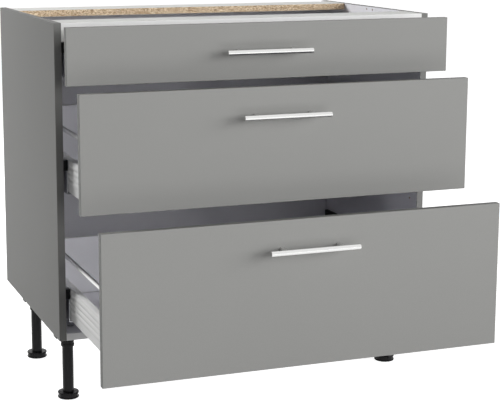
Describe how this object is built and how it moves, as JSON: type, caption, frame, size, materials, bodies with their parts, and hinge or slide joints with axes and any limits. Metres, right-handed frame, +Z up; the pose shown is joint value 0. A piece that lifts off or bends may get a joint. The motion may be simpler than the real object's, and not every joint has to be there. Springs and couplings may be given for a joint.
{
  "type": "kitchen base cabinet with drawers",
  "caption": "Kitchen base cabinet on adjustable legs, with metal-sided drawers on full-extension runners, slab fronts and round bar handles.",
  "frame": {"origin": "on the floor, under the centre of the whole object's box with the drawers open as pictured", "axes": "+X to the right seen from the front, +Y towards the wall, +Z up"},
  "size_m": [0.9, 0.947, 0.872],
  "materials": {
    "grey_laminate": "matt grey melamine face over chipboard",
    "white_board": "matt white melamine face over chipboard",
    "raw_board": "white melamine faces with a bare chipboard front edge",
    "white_steel": "satin white powder coat",
    "black_steel": "black coated rolled steel",
    "zinc_steel": "bright zinc plate",
    "brushed_steel": "satin stainless steel",
    "black_plastic": "semi-gloss black moulded plastic"
  },
  "bodies": {
    "carcass": {"side_panel_left": "grey_laminate", "side_panel_right": "grey_laminate", "bottom_panel": "white_board", "back_panel": "white_board", "front_rail": "white_board", "rail_strip": "white_board", "back_rail": "raw_board", "leg_socket_front_left": "black_plastic", "leg_tube_front_left": "black_plastic", "leg_socket_front_right": "black_plastic", "leg_tube_front_right": "black_plastic", "leg_socket_back_left": "black_plastic", "leg_tube_back_left": "black_plastic", "leg_socket_back_right": "black_plastic", "leg_tube_back_right": "black_plastic", "cabinet_runner_top_left": "black_steel", "cabinet_runner_top_right": "black_steel", "cabinet_runner_middle_left": "black_steel", "cabinet_runner_middle_right": "black_steel", "cabinet_runner_lower_left": "black_steel", "cabinet_runner_lower_right": "black_steel"},
    "drawer_top": {"drawer_front_top": "grey_laminate", "drawer_side_top_left": "white_steel", "drawer_side_top_right": "white_steel", "drawer_base_top": "white_board", "drawer_back_top": "white_board", "handle_bar_top": "brushed_steel", "handle_post_top_left": "brushed_steel", "handle_post_top_right": "brushed_steel"},
    "runners_top": {"middle_runner_top_left": "zinc_steel", "middle_runner_top_right": "zinc_steel"},
    "drawer_middle": {"drawer_front_middle": "grey_laminate", "drawer_side_middle_left": "white_steel", "drawer_side_middle_right": "white_steel", "drawer_base_middle": "white_board", "drawer_back_middle": "white_board", "gallery_rod_middle_left": "brushed_steel", "gallery_rod_middle_right": "brushed_steel", "handle_bar_middle": "brushed_steel", "handle_post_middle_left": "brushed_steel", "handle_post_middle_right": "brushed_steel"},
    "runners_middle": {"middle_runner_middle_left": "zinc_steel", "middle_runner_middle_right": "zinc_steel"},
    "drawer_lower": {"drawer_front_lower": "grey_laminate", "drawer_side_lower_left": "white_steel", "drawer_side_lower_right": "white_steel", "drawer_base_lower": "white_board", "drawer_back_lower": "white_board", "gallery_rod_lower_left": "brushed_steel", "gallery_rod_lower_right": "brushed_steel", "handle_bar_lower": "brushed_steel", "handle_post_lower_left": "brushed_steel", "handle_post_lower_right": "brushed_steel"},
    "runners_lower": {"middle_runner_lower_left": "zinc_steel", "middle_runner_lower_right": "zinc_steel"},
    "foot_front_left": {"leg_foot_front_left": "black_plastic"},
    "foot_front_right": {"leg_foot_front_right": "black_plastic"},
    "foot_back_left": {"leg_foot_back_left": "black_plastic"},
    "foot_back_right": {"leg_foot_back_right": "black_plastic"}
  },
  "joints": [
    {"name": "drawer_top_slide", "type": "slide", "parent": "carcass", "child": "drawer_top", "axis": [0, -1, 0], "range_m": [-0.078, 0.402]},
    {"name": "runners_top_slide", "type": "slide", "parent": "carcass", "child": "runners_top", "axis": [0, -1, 0], "range_m": [-0.039, 0.201]},
    {"name": "drawer_middle_slide", "type": "slide", "parent": "carcass", "child": "drawer_middle", "axis": [0, -1, 0], "range_m": [-0.178, 0.302]},
    {"name": "runners_middle_slide", "type": "slide", "parent": "carcass", "child": "runners_middle", "axis": [0, -1, 0], "range_m": [-0.089, 0.151]},
    {"name": "drawer_lower_slide", "type": "slide", "parent": "carcass", "child": "drawer_lower", "axis": [0, -1, 0], "range_m": [-0.327, 0.153]},
    {"name": "runners_lower_slide", "type": "slide", "parent": "carcass", "child": "runners_lower", "axis": [0, -1, 0], "range_m": [-0.1635, 0.0765]},
    {"name": "foot_front_left_adjust", "type": "slide", "parent": "carcass", "child": "foot_front_left", "axis": [0, 0, -1], "range_m": [0, 0.025]},
    {"name": "foot_front_right_adjust", "type": "slide", "parent": "carcass", "child": "foot_front_right", "axis": [0, 0, -1], "range_m": [0, 0.025]},
    {"name": "foot_back_left_adjust", "type": "slide", "parent": "carcass", "child": "foot_back_left", "axis": [0, 0, -1], "range_m": [0, 0.025]},
    {"name": "foot_back_right_adjust", "type": "slide", "parent": "carcass", "child": "foot_back_right", "axis": [0, 0, -1], "range_m": [0, 0.025]}
  ],
  "couplings": [
    {"joint": "runners_top_slide", "follows": "drawer_top_slide", "ratio": 0.5},
    {"joint": "runners_middle_slide", "follows": "drawer_middle_slide", "ratio": 0.5},
    {"joint": "runners_lower_slide", "follows": "drawer_lower_slide", "ratio": 0.5}
  ]
}
